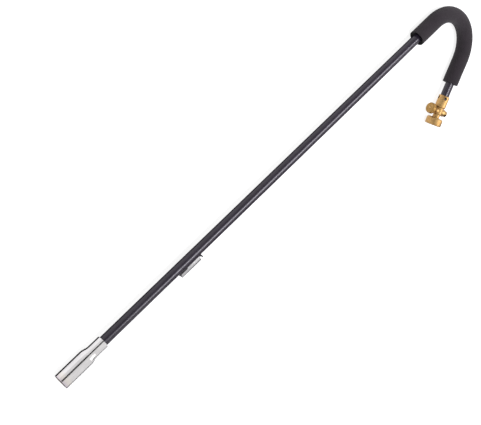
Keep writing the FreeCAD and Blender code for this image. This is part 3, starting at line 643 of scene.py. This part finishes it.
def make_foam():
    """A sleeve cut square at both ends, its first end dished where it was drawn over the tube."""
    start = span("foam_grip", TUBE, 15)[0] - CROOK_START
    end = leg_station(span("foam_grip", VALVE, 15)[1])
    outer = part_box("foam_grip")[1][2] / MM
    inner = TUBE_RADIUS + 0.04
    wall = outer - inner
    outline = eased([(inner, start + 4.5, 0), (inner + 0.3 * wall, start + 3.6, 1.2),
                     (outer - 0.12 * wall, start, 0.8), (outer, start + 0.4, 0.6),
                     (outer, end, 0.5), (inner + 0.5 * wall, end - 0.35, 1.0), (inner, end - 0.5, 0.3)])

    def uneven(radius, station, angle):
        if radius < inner + 0.5 * wall:
            return radius
        place = along_tube(station).translation / MM
        around = Vector((math.cos(angle), math.sin(angle), 0)) * 0.6
        slow = noise.noise(place * 0.045 + around)
        quick = noise.noise(place * 0.16 + around * 3.0)
        return radius - 0.16 + 0.14 * slow + 0.07 * quick
    mesh = bmesh.new()
    revolve(mesh, along_tube, divided(outline, 1.6), 112, uneven)
    foam = add_object("foam_sleeve", mesh, 50)
    # The second, near-black material is painted shade: it darkens the first end face and its dished recess as if
    # no light reached them.
    paint(foam, foam_skin("foam_skin", (0.0082, 0.0062, 0.0077), (0.0180, 0.0140, 0.0170)),
          foam_skin("foam_end_painted_shade", (0.002, 0.002, 0.002), (0.006, 0.006, 0.006)))
    # Faces on the first end and inside its dish take the painted-shade material.
    for face in foam.data.polygons:
        centre = face.center / MM
        near_face = centre.x < CROOK_START + start + 0.5
        if near_face or centre.x < CROOK_START + start + 4.6 and math.hypot(centre.y, centre.z) < outer - 0.4:
            face.material_index = 1
    belongs(foam, "torch", "foam", "foam_grip")


def make_bell():
    """One swaged tube: straight bell, a smooth fall to the neck, thin wall all along."""
    low, high, bell = span("burner_bell", TUBE)
    rear = [vertex.co for vertex in NODES["burner_bell"].data.vertices if vertex.co.x > (high - 1) * MM]
    neck = max(math.hypot(point.y, point.z) for point in rear) / MM
    wall = 0.9
    taper_start, taper_end = 49.0, 64.5
    steps = 22

    def fall(part):
        return bell + (neck - bell) * (0.5 - 0.5 * math.cos(math.pi * part))
    outside = [(fall(step / steps), taper_start + (taper_end - taper_start) * step / steps, 0)
               for step in range(steps + 1)]
    inside = [(radius - wall, station, 0) for radius, station, _ in reversed(outside)]
    outline = ([(bell - wall, low, 0.35), (bell, low, 0.45)] + outside
               + [(neck, high, 0.4), (neck - wall, high, 0.3)] + inside)
    piece = turned("burner_tube", TUBE, outline, 160, longest=4.0, sharp=60)
    paint(piece, burner_finish("burner_steel", bell))
    belongs(piece, "torch", "burner_steel", "burner_bell")


def air_drills(socket_start, name):
    """Two crossed drills for the four air holes, flared where they meet the socket's skin."""
    drills = []
    outer = TUBE_RADIUS + SOCKET_WALL
    for number, angle in enumerate(AIR_HOLE_ANGLES):
        turn = math.radians(angle)
        inward = OUT.cross(Vector(UP))
        if inward.y < 0:
            inward = -inward
        direction = inward * math.cos(turn) + Vector(UP) * math.sin(turn)
        place = axes(VALVE @ Vector((0, 0, (socket_start + AIR_HOLE_STATION) * MM)), direction, OUT)
        drills.append(turned("%s_%d" % (name, number), place, [
            (0, -outer - 1, 0), (AIR_HOLE_MOUTH, -outer - 1, 0), (AIR_HOLE_RADIUS, -outer + 0.35, 0),
            (AIR_HOLE_RADIUS, outer - 0.35, 0), (AIR_HOLE_MOUTH, outer + 1, 0), (0, outer + 1, 0)], 40))
    return drills


def make_socket(brass):
    start, end, outer = span("mixer_socket", VALVE)
    socket = turned("socket", VALVE, [
        (TUBE_RADIUS + 0.02, start, 0.2), (outer, start, 0.7), (outer, end, 0.7), (NIPPLE_RADIUS, end, 0),
        (NIPPLE_RADIUS, end - SOCKET_FLOOR, 0), (TUBE_RADIUS - TUBE_WALL, end - SOCKET_FLOOR, 0),
        (TUBE_RADIUS - TUBE_WALL, start + SOCKET_SEAT, 0), (TUBE_RADIUS + 0.02, start + SOCKET_SEAT, 0)],
        96, longest=3.0)
    cut(socket, air_drills(start, "socket_drill"))
    paint(socket, brass)
    belongs(socket, "torch", "brass_body", "mixer_socket")
    return start


def make_body(brass):
    """Forged body: barrel and cross boss flow into each other with small fillets."""
    socket_end = span("mixer_socket", VALVE)[1]
    plug_seat = span("plug_washer", NEEDLE)[1]
    nut_seat = span("packing_nut", NEEDLE)[0] - 0.2
    cup_base = span("cylinder_coupling", VALVE)[0]
    spud_end = span("valve_body", VALVE, 12)[1]
    mesh = bmesh.new()
    revolve(mesh, straight(VALVE), eased([
        (0, socket_end - 3.5, 0), (5.3, socket_end - 3.5, 0), (5.3, socket_end + 0.02, 0),
        (BARREL_RADIUS, socket_end + 0.02, 0.5), (BARREL_RADIUS, socket_end + BARREL_LENGTH, 0.8),
        (NECK_RADIUS, socket_end + BARREL_LENGTH, 0.3), (NECK_RADIUS, cup_base - 0.02, 0),
        (0, cup_base - 0.02, 0)]), 96)
    revolve(mesh, straight(NEEDLE), eased([
        (0, plug_seat + 0.02, 0), (BOSS_RADIUS, plug_seat + 0.02, 0.7), (BOSS_RADIUS, nut_seat, 0.7),
        (SPIGOT_RADIUS, nut_seat, 0.2), (SPIGOT_RADIUS, nut_seat + 1.0, 0), (0, nut_seat + 1.0, 0)]), 96)
    body = add_object("valve_forging", mesh)
    remesh = body.modifiers.new("remesh", "REMESH")
    remesh.mode = "VOXEL"
    remesh.voxel_size = 0.30 * MM
    smooth = body.modifiers.new("smooth", "SMOOTH")
    smooth.factor = 0.5
    smooth.iterations = 5
    applied(body, 80)
    mesh = bmesh.new()
    mesh.from_mesh(body.data)
    revolve(mesh, straight(VALVE), eased([
        (3.0, cup_base + 0.02, 0), (5.0, cup_base + 0.02, 0), (5.0, spud_end, 0.5), (3.0, spud_end, 0.3)]), 64)
    shade(mesh, 60)
    mesh.to_mesh(body.data)
    mesh.free()
    paint(body, brass)
    belongs(body, "torch", "brass_body", "valve_body")


def make_nut(brass):
    low, high, reach = span("packing_nut", NEEDLE)
    across = reach * 2 * math.cos(math.pi / 6)
    nut = turned("gland_nut", NEEDLE, [
        (2.1, low + 3.4, 0), (4.65, low + 3.4, 0), (4.65, low, 0.2), (reach, low, 0.3), (reach, high - 0.8, 0.3),
        (across / 2, high, 0.3), (2.1, high, 0.2)], 192, hexagon(across), 0.8)
    paint(nut, brass)
    belongs(nut, "torch", "brass_small", "packing_nut")


def make_plug(brass):
    low, high, _ = span("valve_plug", NEEDLE)
    seat = span("plug_washer", NEEDLE)[0]
    across = PLUG_ACROSS_FLATS
    corner = across / 2 / math.cos(math.pi / 6)
    plug = turned("side_plug", NEEDLE, [
        (0, low + 0.35, 0), (2.6, low + 0.35, 0.3), (3.4, low, 0.3), (across / 2 - 0.2, low, 0.4),
        (corner, low + 0.9, 0.4), (corner, seat, 0.3), (2.55, seat, 0), (2.55, high, 0.3), (0, high, 0)],
        192, hexagon(across), 0.8)
    paint(plug, brass)
    belongs(plug, "torch", "brass_small", "valve_plug")


def make_knob(brass):
    """Fluted rim, a shallow dish in the face and a recess for the screw."""
    back, face, rim = span("knob", NEEDLE)
    screw = span("knob_screw", NEEDLE)
    screw_seat = screw[1] - SCREW_HEAD
    pitch = 2 * math.pi / KNOB_FLUTES

    def flutes(radius, station, angle):
        if radius < rim - 0.75:
            return radius
        off = ((angle + pitch / 2) % pitch - pitch / 2) * rim
        depth = math.sqrt(max(0.0, FLUTE_RADIUS ** 2 - off ** 2)) - FLUTE_RISE
        return min(radius, rim - max(0.0, depth))
    knob = turned("control_knob", NEEDLE, [
        (2.02, back, 0.2), (rim - 2.6, back, 0.3), (rim - 1.8, back + 0.35, 0.3), (rim - 0.1, back + 0.35, 0.6),
        (rim, back + 1.2, 0.3), (rim, face - 1.2, 0.3), (rim - 0.75, face - 0.1, 0.3), (rim - 1.4, face, 0.3),
        (rim - 2.2, face - 0.3, 0.4), (screw[2] + 0.7, face - 0.3, 0.3), (screw[2] + 0.1, face - 0.7, 0.2),
        (screw[2] + 0.05, screw_seat, 0), (1.5, screw_seat, 0), (1.5, back + 4.5, 0), (2.02, back + 4.5, 0)],
        KNOB_FLUTES * 14, flutes, 0.9, 45)
    paint(knob, brass)
    belongs(knob, "spindle", "brass_knob", "knob")


def make_cup(brass):
    """Cup with a bevelled base, a rolled lip and a real helical thread inside."""
    base, mouth, outer = span("cylinder_coupling", VALVE)
    pitch = 25.4 / THREADS_PER_INCH
    minor = MOUNTS["cylinder_thread"]["dims"]["r_mm"]
    length = MOUNTS["cylinder_thread"]["dims"]["length_mm"]
    relief = minor + 0.85
    floor = base + 2.5

    def thread(radius, station, angle):
        if abs(radius - minor) > 1e-4:
            return radius
        phase = (station / pitch - angle / (2 * math.pi)) % 1
        fade = min(1.0, (mouth - station) / 0.8, (station - mouth + length) / 0.5)
        return minor + 0.62 * abs(2 * phase - 1) * max(0.0, fade)
    mesh = bmesh.new()
    wall = eased([(5.02, base, 0), (outer - 2.0, base, 0.4), (outer, base + 2.0, 0.5),
                  (outer, mouth - 2.3, 0.25), (outer - 0.3, mouth - 2.1, 0.1), (outer - 0.3, mouth - 1.7, 0.1),
                  (outer, mouth - 1.5, 0.25), (outer, mouth, 0.8), (minor + 0.7, mouth, 0.2)], False)
    rows = int(length / 0.14)
    bore = [Vector((minor, mouth - 0.1 - (length - 0.2) * row / rows)) for row in range(rows + 1)]
    rest = [Vector((relief, mouth - length - 0.1)), Vector((relief, floor)), Vector((5.02, floor))]
    revolve(mesh, straight(VALVE), wall + bore + rest, 120, thread)
    cup = add_object("threaded_cup", mesh, 50)
    paint(cup, brass)
    belongs(cup, "torch", "brass_body", "cylinder_coupling")


def bent_sheet(mesh, path, sheet, bend, low, high, place):
    """A sheet that follows a path of corners (u, v), each bent round, between two levels of w."""
    line = eased([(u, v, 0 if index in (0, len(path) - 1) else bend) for index, (u, v) in enumerate(path)])
    sides = []
    for index, point in enumerate(line):
        before = line[max(index - 1, 0)]
        after = line[min(index + 1, len(line) - 1)]
        heading = (after - before).normalized()
        normal = Vector((-heading.y, heading.x)) * sheet / 2
        sides.append((point + normal, point - normal))
    loop = [side[0] for side in sides] + [side[1] for side in reversed(sides)]
    bottom = [mesh.verts.new(place(u, v, low)) for u, v in loop]
    top = [mesh.verts.new(place(u, v, high)) for u, v in loop]
    count = len(loop)
    for index in range(count):
        after = (index + 1) % count
        mesh.faces.new((bottom[index], bottom[after], top[after], top[index]))
    half = len(sides)
    for ends in (bottom, top):
        for index in range(half - 1):
            mesh.faces.new((ends[index], ends[index + 1], ends[count - 2 - index], ends[count - 1 - index]))


def prism(mesh, loops):
    """A solid between two matching loops of points."""
    ends = [[mesh.verts.new(point) for point in loop] for loop in loops]
    for end in ends:
        mesh.faces.new(end)
    count = len(ends[0])
    for index in range(count):
        after = (index + 1) % count
        mesh.faces.new((ends[0][index], ends[0][after], ends[1][after], ends[1][index]))


def softened(piece, width, sharp=32):
    bevel = piece.modifiers.new("bevel", "BEVEL")
    bevel.width = width * MM
    bevel.segments = 2
    bevel.limit_method = "ANGLE"
    bevel.angle_limit = math.radians(50)
    applied(piece, sharp)


def make_clip(zinc):
    """Channel folded from thin sheet, open towards the tube, its first part cut clear of the tube."""
    low, high = [[value / MM for value in corner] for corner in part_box("striker_clip")]
    half = high[2]
    web = -low[1]
    sheet = CLIP_SHEET
    leg = math.sqrt(TUBE_RADIUS ** 2 - (half - sheet) ** 2)

    def crosswise(u, v, w):
        return Vector((w, -v, u)) * MM
    mesh = bmesh.new()
    path = [(half - sheet / 2, leg), (half - sheet / 2, web - sheet / 2),
            (sheet / 2 - half, web - sheet / 2), (sheet / 2 - half, leg)]
    bent_sheet(mesh, path, sheet, 3.0, low[0], high[0], crosswise)
    clip = add_object("lighter_clip", mesh)
    notch = bmesh.new()
    relief_end = low[0] + RELIEF_LENGTH
    for side in (1, -1):
        corners = [(low[0] - 1, 0), (relief_end, 0), (relief_end, RELIEF_DEPTH - RELIEF_BEVEL),
                   (relief_end - RELIEF_BEVEL, RELIEF_DEPTH), (low[0] - 1, RELIEF_DEPTH)]
        prism(notch, [[Vector((x, -y, z * side)) * MM for x, y in corners] for z in (3.0, half + 1)])
    cut(clip, [add_object("notch", notch)])
    softened(clip, 0.12)
    paint(clip, zinc)
    belongs(clip, "torch", "zinc_clip", "striker_clip")


def make_bracket():
    """Strap under the tube with a saddled foot at one end and an upturned tab at the other."""
    low, high = [[value / MM for value in corner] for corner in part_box("clip_bracket")]
    sheet = STRAP_SHEET
    half = STRAP_HALF_WIDTH
    level = TUBE_RADIUS + sheet / 2 + 0.02

    def lengthwise(u, v, w):
        return Vector((u, -v, w)) * MM
    mesh = bmesh.new()
    path = [(low[0], level), (high[0] - 0.75, level), (high[0] - 0.75, -low[1])]
    bent_sheet(mesh, path, sheet, 1.2, -half, half, lengthwise)
    bracket = add_object("bracket_strap", mesh)
    softened(bracket, 0.15)
    mesh = bmesh.new()
    mesh.from_mesh(bracket.data)
    saddle_end = low[0] + SADDLE_LENGTH
    steps = 12
    arc = [(half * (2 * step / steps - 1)) for step in range(steps + 1)]
    rim = [(z, math.sqrt(TUBE_RADIUS ** 2 - z ** 2) + 0.03) for z in arc]
    loop = rim + [(half, level), (-half, level)]
    prism(mesh, [[Vector((x, -v, z)) * MM for z, v in loop] for x in (low[0] + 0.05, saddle_end)])
    wide = half + 1.1
    ear_low, ear_high = high[0] - 1.35, high[0] - 0.15
    loop = [(-wide, EAR_START), (wide, EAR_START), (wide, -low[1] - 1.2), (wide - 1.2, -low[1]),
            (1.2 - wide, -low[1]), (-wide, -low[1] - 1.2)]
    prism(mesh, [[Vector((x, -v, z)) * MM for z, v in loop] for x in (ear_low + 0.02, ear_high - 0.02)])
    shade(mesh)
    mesh.to_mesh(bracket.data)
    mesh.free()
    paint(bracket, powder_coat("bracket_black", (0.010, 0.010, 0.011), (0.020, 0.019, 0.022), 0.30))
    belongs(bracket, "torch", "black_bracket", "clip_bracket")


def make_rivets(steel):
    """Two blind rivets with domed heads and the broken mandrel showing in each."""
    low, high = [[value / MM for value in corner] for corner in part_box("clip_rivets")]
    head = RIVET_HEAD
    mesh = bmesh.new()
    for centre in (low[0] + head, high[0] - head):
        place = axes((centre * MM, 0, 0), (0, -1, 0), (1, 0, 0))
        top = -low[1]
        revolve(mesh, straight(place), eased([
            (0, -high[1], 0), (2.3, -high[1], 0.3), (2.3, 1 - high[1], 0.3), (1.55, 1 - high[1], 0),
            (1.55, top - 1.0, 0), (head, top - 1.0, 0.25), (head, top - 0.8, 0.2), (1.9, top, 0.8),
            (1.0, top, 0.2), (0.85, top - 0.45, 0.1), (0.8, top - 0.35, 0.2), (0, top - 0.25, 0)]), 40)
    rivets = add_object("blind_rivets", mesh)
    paint(rivets, steel)
    belongs(rivets, "torch", "rivet_steel", "clip_rivets")


BRASS_DARK = (0.395, 0.225, 0.082)
BRASS_LIGHT = (0.605, 0.395, 0.165)


def main():
    camera = make_camera()
    make_studio(camera)
    needle_axis = JOINTS["knob_turn"]["axis"]
    body_brass = lathe_metal("brass_turned", BRASS_DARK, BRASS_LIGHT, OUT, 0.42)
    knob_brass = lathe_metal("brass_knob", (0.230, 0.122, 0.034), (0.385, 0.233, 0.079), needle_axis, 0.34)
    forged_brass = cast_metal("brass_forged", BRASS_DARK, BRASS_LIGHT, 0.43)
    small_brass = lathe_metal("brass_small", (0.38, 0.225, 0.085), (0.56, 0.37, 0.16), needle_axis, 0.28)
    stem_steel = lathe_metal("stem_steel", (0.42, 0.42, 0.42), (0.58, 0.58, 0.58), needle_axis, 0.25)
    zinc = cast_metal("zinc_plate", (0.38, 0.375, 0.385), (0.53, 0.525, 0.54), 0.34, 2.2, 0.02)
    plated = cast_metal("rivet_plate", (0.33, 0.33, 0.34), (0.5, 0.5, 0.5), 0.38)

    make_bell()
    socket_start = make_socket(body_brass)
    make_tube(air_drills(socket_start, "tube_drill"))
    make_foam()
    make_body(forged_brass)
    make_nut(small_brass)
    make_plug(small_brass)
    make_knob(knob_brass)
    make_cup(body_brass)
    make_clip(zinc)
    make_bracket()
    make_rivets(plated)

    kept = {
        "burner_collar": lathe_metal("collar_steel", (0.30, 0.30, 0.30), (0.48, 0.48, 0.48), (1, 0, 0), 0.38),
        "flame_holder": cast_metal("holder_stained", (0.16, 0.13, 0.13), (0.36, 0.32, 0.30), 0.42),
        "gas_jet": small_brass,
        "jet_filter": cast_metal("sintered_bronze", (0.26, 0.16, 0.08), (0.45, 0.30, 0.16), 0.55, 0.3, 0.12),
        "needle_tip": stem_steel,
        "needle_spindle": stem_steel,
        "packing_ring": plain_soft("packing_ring", (0.66, 0.65, 0.60), (0.80, 0.79, 0.75), 0.55, 0.4),
        "knob_screw": small_brass,
        "plug_washer": cast_metal("copper_washer", (0.45, 0.22, 0.13), (0.66, 0.36, 0.24), 0.36),
        "coupling_gasket": plain_soft("gasket_rubber", (0.010, 0.010, 0.010), (0.020, 0.020, 0.020), 0.6, 0.5),
        "depressor_pin": body_brass,
        "inlet_screen": woven_wire("screen_wire"),
    }
    for node, material in kept.items():
        paint(NODES[node], material)
    make_softboxes()


main()
